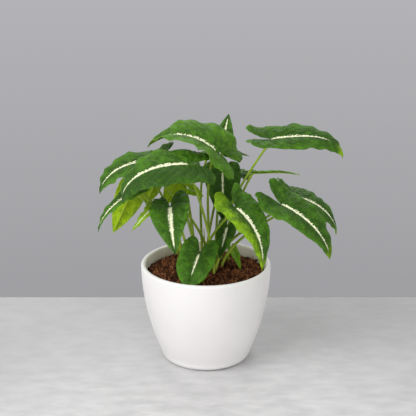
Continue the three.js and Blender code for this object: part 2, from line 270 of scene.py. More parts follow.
def ramp_between(tree, value, low, high, start=0.0, end=1.0):
    """A smooth step from start to end while the value goes from low to high."""
    made = node(tree, "ShaderNodeMapRange", {"Value": value, "From Min": low, "From Max": high,
                                             "To Min": start, "To Max": end},
                interpolation_type="SMOOTHSTEP")
    return made.outputs["Result"]


def blend_colours(tree, share, first, second):
    """The first colour where share is 0 and the second where it is 1."""
    made = tree.nodes.new("ShaderNodeMix")
    made.data_type = "RGBA"
    for socket, source in ((made.inputs[0], share), (made.inputs[6], first), (made.inputs[7], second)):
        if isinstance(source, bpy.types.NodeSocket):
            tree.links.new(source, socket)
        else:
            socket.default_value = source if isinstance(source, float) else (*source, 1.0)
    return made.outputs[2]


patchiness = bpy.data.node_groups.new("patchiness", "ShaderNodeTree")
patchiness.interface.new_socket(name="Place", in_out="INPUT", socket_type="NodeSocketVector")
for label in ("Patches per metre", "Low", "High"):
    patchiness.interface.new_socket(name=label, in_out="INPUT", socket_type="NodeSocketFloat")
for label in ("Mask", "Height"):
    patchiness.interface.new_socket(name=label, in_out="OUTPUT", socket_type="NodeSocketFloat")
given = patchiness.nodes.new("NodeGroupInput")
noise = node(patchiness, "ShaderNodeTexNoise", {
    "Vector": given.outputs["Place"], "Scale": given.outputs["Patches per metre"],
    "Detail": 4.0, "Roughness": 0.55})
stretch = node(patchiness, "ShaderNodeMapRange", {
    "Value": noise.outputs["Fac"], "From Min": given.outputs["Low"], "From Max": given.outputs["High"]})
result = patchiness.nodes.new("NodeGroupOutput")
patchiness.links.new(stretch.outputs["Result"], result.inputs["Mask"])
patchiness.links.new(noise.outputs["Fac"], result.inputs["Height"])


def patches(tree, place, per_metre, low=0.35, high=0.65):
    """Places the patchiness group and gives its node."""
    made = tree.nodes.new("ShaderNodeGroup")
    made.node_tree = patchiness
    tree.links.new(place, made.inputs["Place"])
    for label, value in (("Patches per metre", per_metre), ("Low", low), ("High", high)):
        made.inputs[label].default_value = value
    return made


def new_finish(name, roughness=0.5, specular=0.5):
    """A material with its own shader, and the place on the piece to read patterns from."""
    material = bpy.data.materials.new(name)
    material.use_nodes = True
    tree = material.node_tree
    shader = tree.nodes["Principled BSDF"]
    shader.inputs["Roughness"].default_value = roughness
    shader.inputs["Specular IOR Level"].default_value = specular
    place = tree.nodes.new("ShaderNodeTexCoord").outputs["Object"]
    return material, tree, shader, place


def relief(tree, shader, height, depth):
    """Turns a height into a bump of the given depth in metres on the shader."""
    made = node(tree, "ShaderNodeBump", {"Height": height, "Distance": depth, "Strength": 1.0})
    tree.links.new(made.outputs["Normal"], shader.inputs["Normal"])


def painted(tree, label):
    """The three values painted on a piece's points under a name."""
    read = tree.nodes.new("ShaderNodeAttribute")
    read.attribute_name = label
    split = node(tree, "ShaderNodeSeparateXYZ", {"Vector": read.outputs["Vector"]})
    return split.outputs


print("shared node group:", patchiness.name)

# %% [markdown]
# ## The table top
#
# A pale stone-like top with faint clouds and a slanting grain. It carries the soft shadow
# that makes the pot stand instead of float. It is only scenery and is not attached to any
# body.

# %% Table top
TABLE_BACK = 0.153
TABLE_FRONT = -1.6
TABLE_HALF = 1.6
# The stone is painted lightest near the pot's front and darker further out: a painted pool of light that
# fades into painted shade, not a colour of the stone.
LIGHT_POOL_MIDDLE = (0.0, -0.30, 0.0)
LIGHT_POOL_NEAR, LIGHT_POOL_FAR = 0.10, 0.42      # metres from the middle
STONE_IN_PAINTED_LIGHT, STONE_IN_PAINTED_SHADE = (0.71, 0.70, 0.705), (0.43, 0.43, 0.435)
STONE_CLOUD, STONE_GRAIN = (0.62, 0.62, 0.625), (0.38, 0.38, 0.39)
GRAIN_SLANT, GRAIN_STRETCH = 0.5, 0.45


def table_finish():
    """Stone with broad clouds and a slanting grain, and a painted pool of light: painted lightest near the
    pot's front and darker, as painted shade, further out.
    """
    material, tree, shader, place = new_finish("table_stone", roughness=0.55, specular=0.3)
    slanted = node(tree, "ShaderNodeMapping", {
        "Vector": place, "Rotation": (0.0, 0.0, GRAIN_SLANT), "Scale": (GRAIN_STRETCH, 1.0, 1.0)})
    broad = patches(tree, place, 7.0, 0.30, 0.70)
    fine = patches(tree, slanted.outputs[0], 75.0)
    # Painted light: the stone is lighter near the pot's front and darker with the distance from there.
    reach = node(tree, "ShaderNodeVectorMath", {0: place, 1: LIGHT_POOL_MIDDLE}, operation="DISTANCE")
    painted_falloff = ramp_between(tree, reach.outputs["Value"], LIGHT_POOL_NEAR, LIGHT_POOL_FAR)
    tone = blend_colours(tree, painted_falloff, STONE_IN_PAINTED_LIGHT, STONE_IN_PAINTED_SHADE)
    cloudiness = calc(tree, "MULTIPLY", broad.outputs["Mask"], 0.3)
    tone = blend_colours(tree, cloudiness, tone, STONE_CLOUD)
    graininess = calc(tree, "MULTIPLY", fine.outputs["Mask"], 0.42)
    tone = blend_colours(tree, graininess, tone, STONE_GRAIN)
    tree.links.new(tone, shader.inputs["Base Color"])
    relief(tree, shader, fine.outputs["Height"], 0.0002)
    return material


corner_x, corner_y = np.meshgrid([-TABLE_HALF, TABLE_HALF], [TABLE_FRONT, TABLE_BACK])
table_top = mesh_piece("table_top", np.stack([corner_x, corner_y, np.zeros_like(corner_x)], -1),
                       grid_faces(2, 2), materials=[table_finish()])
print("table ends at y =", TABLE_BACK)

# %% [markdown]
# ## The pot
#
# The pot is thrown: one outline turned about the upright axis. Its wall is widest at the rim
# and curves in towards the foot, the rim is a half round as wide as the wall, and the foot is
# rounded under. A lathe of points gives that in one grid. The glaze is white and satin, with
# a faint cloudiness, and the bare inner wall is warmer, duller and stained by moist soil. It is
# also painted much paler than the glaze: that paleness is painted light on the inner wall.

# %% Pot outline and lathe
POT_FLOOR = 7.0
POT_WALL = 5.0
POT_TAPER = 24.0
FOOT_ROUNDING = 7.0
SOIL_EDGE = 95.0
AROUND = 160
GLAZE_SHADES = (0.775, 0.760, 0.750), (0.805, 0.790, 0.780)
# The bare inner wall: warm and stained, and painted paler than the glaze, which is painted light.
BARE_STAINS_AND_PAINTED_LIGHT = (0.98, 0.94, 0.87), (0.93, 0.87, 0.78)
GLAZE_ENDS, BARE_STARTS = 0.0032, 0.0050    # metres in from the outer wall

pot_low, pot_high = (np.array(corner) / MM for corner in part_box("pot"))
RIM_RADIUS = (pot_high[0] - pot_low[0]) / 2
POT_HEIGHT = pot_high[2]


def outer_radius(height):
    """Rim radius less the taper times the square of the share of the height still to go."""
    return RIM_RADIUS - POT_TAPER * (1 - height / POT_HEIGHT) ** 2


def inner_radius(height):
    """The outer radius less the wall."""
    return outer_radius(height) - POT_WALL


def turned(outline):
    """An outline of radius and height carried round the upright axis."""
    turn = np.linspace(0, 2 * math.pi, AROUND, endpoint=False)
    radius, height = outline[:, 0, None], outline[:, 1, None]
    return np.stack([radius * np.cos(turn), radius * np.sin(turn), height + 0 * turn], -1)


def pot_outline():
    """Foot, quarter round, curved wall, half-round rim, inner wall and floor."""
    quarter = np.linspace(0, math.pi / 2, 10)
    foot = outer_radius(FOOT_ROUNDING) - FOOT_ROUNDING
    rim_centre = POT_HEIGHT - POT_WALL / 2
    rim_middle = outer_radius(rim_centre) - POT_WALL / 2
    rounding = np.stack([foot + FOOT_ROUNDING * np.sin(quarter),
                         FOOT_ROUNDING * (1 - np.cos(quarter))], -1)
    up = np.linspace(FOOT_ROUNDING, rim_centre, 30)[1:]
    half = np.linspace(0, math.pi, 17)[1:-1]
    rim = np.stack([rim_middle + POT_WALL / 2 * np.cos(half),
                    rim_centre + POT_WALL / 2 * np.sin(half)], -1)
    down = np.linspace(rim_centre, POT_FLOOR, 26)
    under = [[0, 0], [foot * 0.5, 0], [foot * 0.97, 0]]
    floor = [[inner_radius(POT_FLOOR) * 0.5, POT_FLOOR], [0, POT_FLOOR]]
    return np.concatenate([
        under, rounding, np.stack([outer_radius(up), up], -1), rim,
        np.stack([inner_radius(down), down], -1), floor])


def glaze_finish():
    """Satin white outside and over the rim. Inside is where a point lies deeper in from the
    line of the outer wall than the rim does, and there the wall is bare and dull, stained, and
    painted paler than the glaze as painted light."""
    material, tree, shader, place = new_finish("white_glaze", roughness=0.34, specular=0.5)
    spot = node(tree, "ShaderNodeSeparateXYZ", {"Vector": place}).outputs
    radius = calc(tree, "SQRT", calc(tree, "ADD", calc(tree, "MULTIPLY", spot[0], spot[0]),
                                     calc(tree, "MULTIPLY", spot[1], spot[1])))
    left = calc(tree, "SUBTRACT", 1.0, calc(tree, "DIVIDE", spot[2], POT_HEIGHT * MM))
    wall_line = calc(tree, "SUBTRACT", RIM_RADIUS * MM,
                     calc(tree, "MULTIPLY", calc(tree, "MULTIPLY", left, left), POT_TAPER * MM))
    depth = calc(tree, "SUBTRACT", wall_line, radius)
    inside = ramp_between(tree, depth, GLAZE_ENDS, BARE_STARTS)
    cloudy = patches(tree, place, 22.0)
    stains = patches(tree, place, 90.0, 0.4, 0.7)
    white = blend_colours(tree, cloudy.outputs["Mask"], *GLAZE_SHADES)
    # Stained bare wall with painted light: painted paler than the glaze.
    bare = blend_colours(tree, stains.outputs["Mask"], *BARE_STAINS_AND_PAINTED_LIGHT)
    tree.links.new(blend_colours(tree, inside, white, bare), shader.inputs["Base Color"])
    gloss = calc(tree, "ADD", calc(tree, "MULTIPLY", cloudy.outputs["Mask"], 0.08), 0.32)
    dull = calc(tree, "ADD", gloss, calc(tree, "MULTIPLY", inside, 0.3))
    tree.links.new(dull, shader.inputs["Roughness"])
    relief(tree, shader, cloudy.outputs["Height"], 0.0003)
    return material


outline = pot_outline()
pot = mesh_piece("white_pot", turned(outline) * MM, grid_faces(len(outline), AROUND, wrap=True)[:, ::-1],
                 materials=[glaze_finish()])
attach(pot, "root")
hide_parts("pot")
print("pot:", len(pot.data.polygons), "faces, rim radius", RIM_RADIUS, "mm")

# %% [markdown]
# ## The soil
#
# The potting mix is coir: dark red-brown crumbs and many short wiry fibres with black gaps
# between them. A bump on a smooth mound would look like carpet, so the mound gets uneven
# relief and then real crumbs and real fibres lie on it. They are repeated hundreds of times,
# so each has only a few dozen faces, and all of them are one mesh worked out as one array.

# %% Soil mound
SOIL_TOP = 101.0
SOIL_GAP = 0.15
SOIL_RINGS = 90
# The nearly black patches on the mound are painted shade: the shade in the gaps between crumbs.
GAP_PAINTED_SHADE, CLOD_COLOUR = (0.008, 0.003, 0.002), (0.085, 0.025, 0.009)
FIBRE_COLOUR, GRAIN_COLOUR = (1.0, 0.39, 0.15), (0.020, 0.008, 0.004)


def soil_height(radius):
    """A low mound: its middle height less the square of the share of the way to the wall."""
    share = np.minimum(radius / inner_radius(SOIL_EDGE), 1)
    return SOIL_TOP - (SOIL_TOP - SOIL_EDGE) * share ** 2


def soil_relief(x, y):
    """Clods of about 11 mm and grains of about 4 mm, in mm."""
    return 1.3 * ripples(x, y, 11.0, 3) + 0.7 * ripples(x, y, 4.0, 4)


def soil_finish():
    """Red-brown clods with nearly black gaps, which are painted shade, and dark grains; the fibre value
    painted on the points makes a fibre paler.
    """
    material, tree, shader, place = new_finish("coir_mix", roughness=0.9, specular=0.2)
    clods = patches(tree, place, 160.0, 0.4, 0.62)
    grains = patches(tree, place, 900.0, 0.35, 0.65)
    shade = painted(tree, "fibre")[0]
    # Painted shade: nearly black gaps between the clods.
    colour = blend_colours(tree, clods.outputs["Mask"], GAP_PAINTED_SHADE, CLOD_COLOUR)
    colour = blend_colours(tree, shade, colour, FIBRE_COLOUR)
    graininess = calc(tree, "MULTIPLY", grains.outputs["Mask"], 0.45)
    colour = blend_colours(tree, graininess, colour, GRAIN_COLOUR)
    tree.links.new(colour, shader.inputs["Base Color"])
    relief(tree, shader, grains.outputs["Height"], 0.0008)
    return material


coir = soil_finish()
wall_heights = np.linspace(POT_FLOOR + 0.3, SOIL_EDGE, 8)
top_radii = np.linspace(1, 0, SOIL_RINGS)[1:] * (inner_radius(SOIL_EDGE) - SOIL_GAP)
soil_outline = np.concatenate([
    [[0, wall_heights[0]]],
    np.stack([inner_radius(wall_heights) - SOIL_GAP, wall_heights], -1),
    np.stack([top_radii, soil_height(top_radii)], -1)])
mound = turned(soil_outline)
on_top = smooth_step(SOIL_EDGE - 1, SOIL_EDGE, mound[..., 2])
mound[..., 2] += on_top * soil_relief(mound[..., 0], mound[..., 1])
mound[-1] = mound[-1, 0]
soil = mesh_piece("coir_mound", mound * MM, grid_faces(len(mound), AROUND, wrap=True)[:, ::-1],
                  {"fibre": np.zeros_like(mound)}, [coir])
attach(soil, "root")
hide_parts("soil")
print("soil mound:", len(soil.data.polygons), "faces")

# %% Crumbs and fibres on the soil
CRUMBS = 1500
FIBRES = 2400
CRUMB_ROWS, CRUMB_SIDES = 6, 7
FIBRE_POINTS, FIBRE_SIDES = 7, 4


def scattered(luck, count, reach):
    """Random places over a disc of the given radius, equally dense all over."""
    radius = reach * np.sqrt(luck.uniform(0, 1, count))
    turn = luck.uniform(0, 2 * math.pi, count)
    return radius * np.cos(turn), radius * np.sin(turn)


def crumbs():
    """Lumpy balls: rows of latitude and sides of longitude, each point's distance from the
    middle uneven, each ball squashed and turned its own way."""
    luck = np.random.default_rng(11)
    size = luck.uniform(0.7, 2.0, CRUMBS) * luck.uniform(0.6, 1.2, CRUMBS)
    x, y = scattered(luck, CRUMBS, inner_radius(SOIL_EDGE) - 2.2)
    latitude = np.linspace(-math.pi / 2, math.pi / 2, CRUMB_ROWS)[:, None]
    longitude = np.linspace(0, 2 * math.pi, CRUMB_SIDES, endpoint=False)[None, :]
    ball = np.stack([np.cos(latitude) * np.cos(longitude), np.cos(latitude) * np.sin(longitude),
                     np.sin(latitude) + 0 * longitude], -1)
    uneven = luck.uniform(0.7, 1.25, (CRUMBS, CRUMB_ROWS, CRUMB_SIDES, 1))
    uneven[:, 0] = uneven[:, -1] = 0.9
    squash = luck.uniform(0.55, 1.0, (CRUMBS, 1, 1, 3))
    turn = luck.uniform(0, 2 * math.pi, CRUMBS)[:, None, None]
    local = ball * uneven * squash * size[:, None, None, None]
    turned_x = local[..., 0] * np.cos(turn) - local[..., 1] * np.sin(turn)
    turned_y = local[..., 0] * np.sin(turn) + local[..., 1] * np.cos(turn)
    ground = soil_height(np.hypot(x, y)) + soil_relief(x, y) + 0.3 * size
    points = np.stack([turned_x + x[:, None, None], turned_y + y[:, None, None],
                       local[..., 2] + ground[:, None, None]], -1)
    shade = np.zeros_like(points)
    shade[..., 0] = (luck.uniform(0, 1, CRUMBS) ** 2.5 * 0.4)[:, None, None]
    return points, shade


def fibres():
    """Thin bent hairs: a level arc of its own length and bend, its two ends lifted a little
    from the mound."""
    luck = np.random.default_rng(12)
    reach = inner_radius(SOIL_EDGE) - 5.0
    x, y = scattered(luck, FIBRES, reach)
    length = luck.uniform(3.0, 13.0, FIBRES)
    heading = luck.uniform(0, 2 * math.pi, FIBRES)
    bend = luck.uniform(-2.2, 2.2, FIBRES)
    lift = luck.uniform(-0.6, 3.6, FIBRES)
    tilt = luck.normal(0, 0.35, FIBRES)
    t = np.linspace(-0.5, 0.5, FIBRE_POINTS)
    angle = heading[:, None] + bend[:, None] * t
    px = x[:, None] + length[:, None] * t * np.cos(angle)
    py = y[:, None] + length[:, None] * t * np.sin(angle)
    distance = np.hypot(px, py)
    keep_in = np.minimum(1, (inner_radius(SOIL_EDGE) - 0.8) / distance)
    px, py = px * keep_in, py * keep_in
    pz = soil_height(np.hypot(px, py)) + soil_relief(px, py) + 0.5
    pz += lift[:, None] * (2 * t) ** 2 + tilt[:, None] * length[:, None] * t
    paths = np.stack([px, py, pz], -1)
    thick = luck.uniform(0.12, 0.36, FIBRES)[:, None] * np.sqrt(np.clip(1 - (2 * t) ** 6, 0, 1))
    points = tube_points(paths, thick, np.array([0.0, 0.0, 1.0]), FIBRE_SIDES)
    shade = np.zeros_like(points)
    shade[..., 0] = luck.uniform(0.1, 1, FIBRES)[:, None, None] ** 3.5
    return points, shade


crumb_points, crumb_shade = crumbs()
fibre_points, fibre_shade = fibres()
soil_crumbs = mesh_piece("coir_crumbs", crumb_points * MM, many_faces(CRUMBS, CRUMB_ROWS, CRUMB_SIDES),
                         {"fibre": crumb_shade}, [coir], weld=0.000001)
soil_fibres = mesh_piece("coir_fibres", fibre_points * MM, many_faces(FIBRES, FIBRE_POINTS, FIBRE_SIDES),
                         {"fibre": fibre_shade}, [coir], weld=0.000001)
for piece in (soil_crumbs, soil_fibres):
    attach(piece, "root")
    print(piece.name, len(piece.data.polygons), "faces")

# %% [markdown]
# ## The shape of a leaf
#
# A syngonium leaf is an arrowhead: two round lobes behind the stalk, long curved sides and a
# point. It could be cut from a flat plane, but then its faces would cross the veins. Here it
# is a grid of rays instead. Each ray runs from the midrib to the margin, as the side veins
# do, and the lobes' rays fan out from the stalk. The flat grid is then folded along the
# midrib, arched from stalk to tip, and placed where the measured leaf is.

# %% The leaves of this plant
# Lengths are in mm and angles in degrees. heading is where the leaf points, seen from above.
# stripe is the half width of the pale stripe and fade is where it ends. light, young and
# tip_young turn the leaf paler, yellow-green all over, or yellow-green at the tip. The values
# that end in left or right do it on one half. The paleness given for one half is painted
# light, and painted shade where it is below 0. young is youth on most leaves, but on
# left_underside its yellow-green, with the paleness, is painted light shining through from
# behind. twist lifts the right side towards the tip, and tip_fold is added to both folds there.
PLAIN_LEAF = dict(
    heading=0, pitch=0, roll=0, length=60, half_width=18, lobe=22, bend=30, curl=0, lobe_drop=10,
    fold_left=8, fold_right=8, sweep=0, twist=0, tip_fold=0, full=0, lean=0.5,
    stripe=1.1, fade=0.95, light=0.3, young=0.0, tip_young=0.0, young_left=0.0, young_right=0.0,
    painted_shading_left=0.0, painted_shading_right=0.0)

LEAVES = {
    "top_front": dict(
        heading=182, pitch=44, roll=10, length=80, half_width=33, lobe=30, bend=76, curl=20,
        lobe_drop=12, fold_left=2, fold_right=26, twist=-20, full=0.3, stripe=1.7, light=0.55,
        young_right=0.12, young_left=0.1, tip_young=0.3),
    # Its near, left half is painted darker: painted shade where that half faces away from the lamp.
    "left_front": dict(
        heading=196, pitch=8, roll=20, length=93, half_width=28, lobe=28, bend=66, curl=52,
        fold_left=-8, fold_right=0, sweep=4, full=0.9, stripe=1.45, light=0.45,
        painted_shading_left=-0.6),
    "far_left": dict(
        heading=196, pitch=4, roll=8, length=69, half_width=21, lobe=33, bend=56, curl=35,
        lobe_drop=-60, fold_left=-6, full=0.9, stripe=1.3, light=0.3),
    "left_low": dict(
        heading=195, pitch=-22, roll=10, length=60, half_width=12, lobe=14, bend=42, curl=20,
        stripe=1.2, light=0.4),
    # The yellow-green and the paleness of this leaf are painted light: light shining through the leaf from
    # behind.
    "left_underside": dict(
        heading=145, pitch=-62, roll=-60, length=58, half_width=16, lobe=12, bend=10, full=0.4,
        lean=1.5, light=0.8, young=0.85),
    "left_small": dict(
        heading=200, pitch=-38, length=34, half_width=12, lobe=9, bend=12, stripe=1.3, light=0.9,
        young=0.85),
    "front_left": dict(
        heading=-87, pitch=-20, roll=-16, length=60, half_width=21, lobe=21, bend=22, curl=15,
        stripe=1.75, light=0.25),
    "front_low": dict(
        heading=-111, pitch=-32, roll=8, length=42, half_width=20, lobe=19, bend=18, lobe_drop=-20,
        full=1.4, lean=0.9, stripe=1.0, fade=0.7, light=0.35, tip_young=0.3),
    "front_right": dict(
        heading=-43, pitch=-20, roll=-8, length=72, half_width=23, lobe=26, bend=44, curl=20,
        sweep=28, lobe_drop=-75, stripe=1.5, light=0.35, young_right=0.5, tip_young=0.45),
    "right_front": dict(
        heading=-35, pitch=-12, roll=-18, length=82, half_width=24, lobe=28, bend=58, curl=30,
        lobe_drop=-60, fold_left=0, full=0.2, stripe=1.25, light=0.22, tip_young=0.5),
    "right_back": dict(
        heading=-25, pitch=-4, roll=-20, length=66, half_width=20, lobe=28, bend=78, curl=20,
        lobe_drop=-55, fold_left=-14, stripe=1.2, light=0.15, tip_young=0.6),
    "top_right": dict(
        heading=-5, pitch=10, roll=-22, length=92, half_width=20, lobe=28, bend=16, curl=90,
        lobe_drop=-40, twist=-16, tip_fold=-30, full=0.8, lean=0.8, stripe=1.1, fade=0.75,
        light=0.22, tip_young=0.9),
    "top_back": dict(
        heading=75, pitch=50, length=46, half_width=13, lobe=9, bend=10, light=0.2),
    "top_right_back": dict(
        heading=8, pitch=2, length=46, half_width=14, lobe=12, bend=25, light=0.5, tip_young=0.5),
    "right_level": dict(
        heading=3, roll=18, length=53, half_width=14, lobe=10, bend=-4, curl=25, lobe_drop=0,
        fold_left=2, fold_right=2, light=0.8, young=0.2, tip_young=0.8),
    "centre_back": dict(
        heading=-88, pitch=-62, length=54, half_width=20, lobe=12, bend=8, lean=0.9, stripe=0.9,
        light=0.1),
    "low_right": dict(
        heading=-122, pitch=-58, length=35, half_width=12, lobe=9, bend=8, lean=0.9, stripe=1.2,
        light=0.15, fade=0.7),
    "hanging_small": dict(
        heading=-68, pitch=-28, length=31, half_width=6, lobe=4, bend=12, lean=0.9, stripe=0.2,
        light=0.8, young=0.35),
    "left_behind": dict(
        heading=145, pitch=-60, roll=-55, length=40, half_width=12, lobe=10, bend=5, lean=1.5,
        light=0.9, young=0.95),
    "centre_young": dict(
        heading=-15, pitch=-20, roll=-35, length=17, half_width=7, lobe=5, bend=20, stripe=0.3,
        light=1.0, young=1.0),
    "left_inner": dict(
        heading=130, pitch=-60, roll=-40, length=30, half_width=9, lobe=8, bend=10, lean=1.2,
        light=0.5, young=0.6),
    "back_middle": dict(
        heading=112, pitch=5, length=54, half_width=18, lobe=20, light=0.4),
    "back_right": dict(
        heading=97, length=50, half_width=16, lobe=18, light=0.4),
    "back_left": dict(
        heading=150, pitch=-5, length=52, half_width=16, lobe=18, light=0.4),
}
LEAVES = {name: {**PLAIN_LEAF, **leaf} for name, leaf in LEAVES.items()}
print("leaves:", len(LEAVES))

# %% The flat arrowhead
NOTCH = np.array([(0, 0), (0.10, -0.35), (0.20, -0.95), (0.58, -1.0)])
LOBE_SIDE = np.array([(0.58, -1.0), (0.90, -1.0), (1.0, -0.40), (1.0, 0.06)])


def long_side(full):
    """The curve from the widest place to the tip; full makes it rounder."""
    return np.array([(1.0, 0.06), (1.0, 0.36 + 0.2 * full), (0.36 + 0.2 * full, 0.80), (0, 1)])


def bezier(handles, t):
    """A cubic curve through the first and last of four handles, drawn towards the others."""
    t = np.asarray(t, float)[..., None]
    a, b, c, d = handles
    return (1 - t) ** 3 * a + 3 * t * (1 - t) ** 2 * b + 3 * t ** 2 * (1 - t) * c + t ** 3 * d


def flat_rays(full, lobe_t, long_t, across):
    """Points of half a blade, by ray and by share of the way to the margin. x is in half
    widths; y is in lengths ahead of the stalk and in lobe lengths behind it. A ray is straight,
    but the first ones bow to follow the notch."""
    margin = np.concatenate([bezier(LOBE_SIDE, lobe_t), bezier(long_side(full), long_t)])
    start = np.concatenate([np.zeros((len(lobe_t), 2)), np.stack([0 * long_t, long_t], -1)])
    bow_share = np.concatenate([(1 - lobe_t) ** 2, 0 * long_t])
    v = across[None, :, None]
    straight = start[:, None] * (1 - v) + margin[:, None] * v
    bow = bezier(NOTCH, across) - across[:, None] * NOTCH[-1]
    return straight + bow_share[:, None, None] * bow


# %% Fold, arch and place
SPINE_STEPS = 40
SAME_LEAF = 0.05    # mm that the sizes of a leaf and of the measured one may differ by


def leaf_axes(leaf):
    """Forward along the midrib, right and up, from the heading, the pitch and the roll."""
    heading, pitch, roll = np.radians([leaf["heading"], leaf["pitch"], leaf["roll"]])
    forward = np.array([math.cos(heading) * math.cos(pitch), math.sin(heading) * math.cos(pitch),
                        math.sin(pitch)])
    flat_up = np.array([-math.cos(heading) * math.sin(pitch), -math.sin(heading) * math.sin(pitch),
                        math.cos(pitch)])
    flat_right = np.cross(forward, flat_up)
    right = flat_right * math.cos(roll) + flat_up * math.sin(roll)
    up = flat_up * math.cos(roll) - flat_right * math.sin(roll)
    return forward, right, up


def arch_angle(leaf, share):
    """How far the midrib has turned down: bend times the share plus curl times its cube ahead
    of the stalk, and the lobe drop in proportion behind it."""
    behind = math.radians(leaf["lobe_drop"]) * share * leaf["length"] / leaf["lobe"]
    ahead = math.radians(leaf["bend"]) * share + math.radians(leaf["curl"]) * share ** 3
    return np.where(share < 0, behind, ahead)


def midrib(leaf, share):
    """The midrib's place, and the blade's right and up there. The place is the direction summed
    in small steps; twist turns right and up about the midrib in proportion to the share."""
    forward, right, up = leaf_axes(leaf)
    middles = (np.arange(SPINE_STEPS) + 0.5) / SPINE_STEPS
    angle = arch_angle(leaf, share[..., None] * middles)
    step = leaf["length"] * share / SPINE_STEPS
    run = (np.cos(angle).sum(-1) * step)[..., None]
    drop = (np.sin(angle).sum(-1) * step)[..., None]
    ahead = np.maximum(share, 0)[..., None]
    aside = 0.5 * math.radians(leaf["sweep"]) * leaf["length"] * ahead ** 2
    here = arch_angle(leaf, share)[..., None]
    arched = np.cos(here) * up + np.sin(here) * forward
    twist = math.radians(leaf["twist"]) * ahead
    return (run * forward - drop * up + aside * right,
            np.cos(twist) * right + np.sin(twist) * arched,
            np.cos(twist) * arched - np.sin(twist) * right)


def blade_points(leaf, flat, side, lift):
    """Flat points folded up from the midrib, arched along it, and lifted off the surface."""
    x, y = flat[..., 0], flat[..., 1]
    share = np.where(y > 0, y, y * leaf["lobe"] / leaf["length"])
    middle, right, up = midrib(leaf, share)
    at_stalk = leaf["fold_right"] if side > 0 else leaf["fold_left"]
    fold = np.radians(at_stalk + leaf["tip_fold"] * np.maximum(share, 0))[..., None]
    out = (x * leaf["half_width"])[..., None]
    return middle + side * np.cos(fold) * out * right + (np.sin(fold) * out + lift[..., None]) * up


def leaf_place(name, leaf):
    """Where the stalk joins the blade. The measured leaf is a coarse grid of the same formula,
    so the middle of that grid's box is set on the middle of the measured box. The second
    value is how much the two boxes differ in size."""
    flat = flat_rays(leaf["full"], np.arange(3) / 3, np.linspace(0, 1, 6), np.linspace(0, 1, 3))
    no_lift = np.zeros(flat.shape[:2])
    layers = [blade_points(leaf, flat, side, no_lift - depth)
              for side in (1, -1) for depth in (0, 1)]
    points = np.concatenate(layers).reshape(-1, 3)
    low, high = (np.array(corner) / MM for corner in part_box("leaf_" + name))
    worst = np.abs((high - low) - np.ptp(points, axis=0)).max()
    return (low + high) / 2 - (points.min(0) + points.max(0)) / 2, worst


for name, leaf in LEAVES.items():
    leaf["at"], off = leaf_place(name, leaf)
    if off > SAME_LEAF:
        print("this leaf is not the measured one:", name, round(off, 2), "mm")
print("first leaf joins its stalk at", LEAVES["top_front"]["at"])

# %% [markdown]
# ## The relief and the colours of a leaf
#
# A blade is never flat between its folds. Each half is crowned, the side veins are sunk and
# the blade swells between them, the midrib lies in a groove, and the margin is wavy. All of
# that is real geometry here, because it is what the light picks out. The colours follow the
# same lines, so the grid also carries painted values: how far a point is from the midrib, how
# wide the stripe is there, which vein it lies on, and how pale or young the leaf is.

# %% Blade relief
LOBE_RAYS, LONG_RAYS, ACROSS = 16, 46, 18
VEINS = 9.0
VEIN_SWEEP = 0.22
BLADE = 0.4
CROWN, SWELL = 0.055, 0.052             # shares of the half width
UNEVEN, UNEVEN_SPACING = 0.6, 11.0      # mm
GROOVE_DEPTH, GROOVE_WIDTH = 0.5, 1.1   # mm
RUFFLE, FINE_RUFFLE = 0.06, 0.035       # shares of the half width
FINE_WAVES = 5.3                        # from the stalk to the tip

across = np.linspace(0, 1, ACROSS) ** 1.25
lobe_t = np.arange(LOBE_RAYS) / LOBE_RAYS
long_t = np.linspace(0, 1, LONG_RAYS)


def blade_lift(leaf, flat, along, side, luck):
    """Height over the folded blade in mm: a crown, swellings between the veins, uneven dips, a
    groove at the midrib, and broad and fine waves that grow with the square of the way to the
    margin. All of it fades with the square root of the way left to the tip."""
    half = leaf["half_width"]
    crown = CROWN * half * 4 * across * (1 - across)
    vein = along - VEIN_SWEEP * across ** 1.5
    between = np.abs(np.sin(math.pi * VEINS * vein)) ** 0.7
    swell = SWELL * half * np.sin(math.pi * across) ** 0.8 * between
    seed = int(luck.integers(1000))
    dips = ripples(side * flat[..., 0] * half, flat[..., 1] * leaf["length"], UNEVEN_SPACING, seed)
    uneven = UNEVEN * across * dips
    groove = -GROOVE_DEPTH * np.exp(-(flat[..., 0] * half / GROOVE_WIDTH) ** 2)
    body = np.clip(1 - along, 0, 1) ** 0.5
    waves = luck.uniform(1.6, 2.6)
    start = luck.uniform(0, 2 * math.pi)
    broad = np.sin(2 * math.pi * waves * along + start)
    broad += 0.5 * np.sin(2 * math.pi * 2.3 * waves * along + 2 * start)
    fine = np.sin(2 * math.pi * FINE_WAVES * along + 3 * start)
    wave = half * across ** 2 * (RUFFLE * broad + FINE_RUFFLE * fine)
    return (crown + swell + uneven + groove + wave) * body, vein


def stripe_width(leaf, along):
    """Half width of the pale stripe in mm: full near the stalk, gone at its fade."""
    start = smooth_step(-0.06, 0.05, along)
    left = 1 - smooth_step(0.35, 1.0, along / leaf["fade"])
    return leaf["stripe"] * start * left ** 0.6


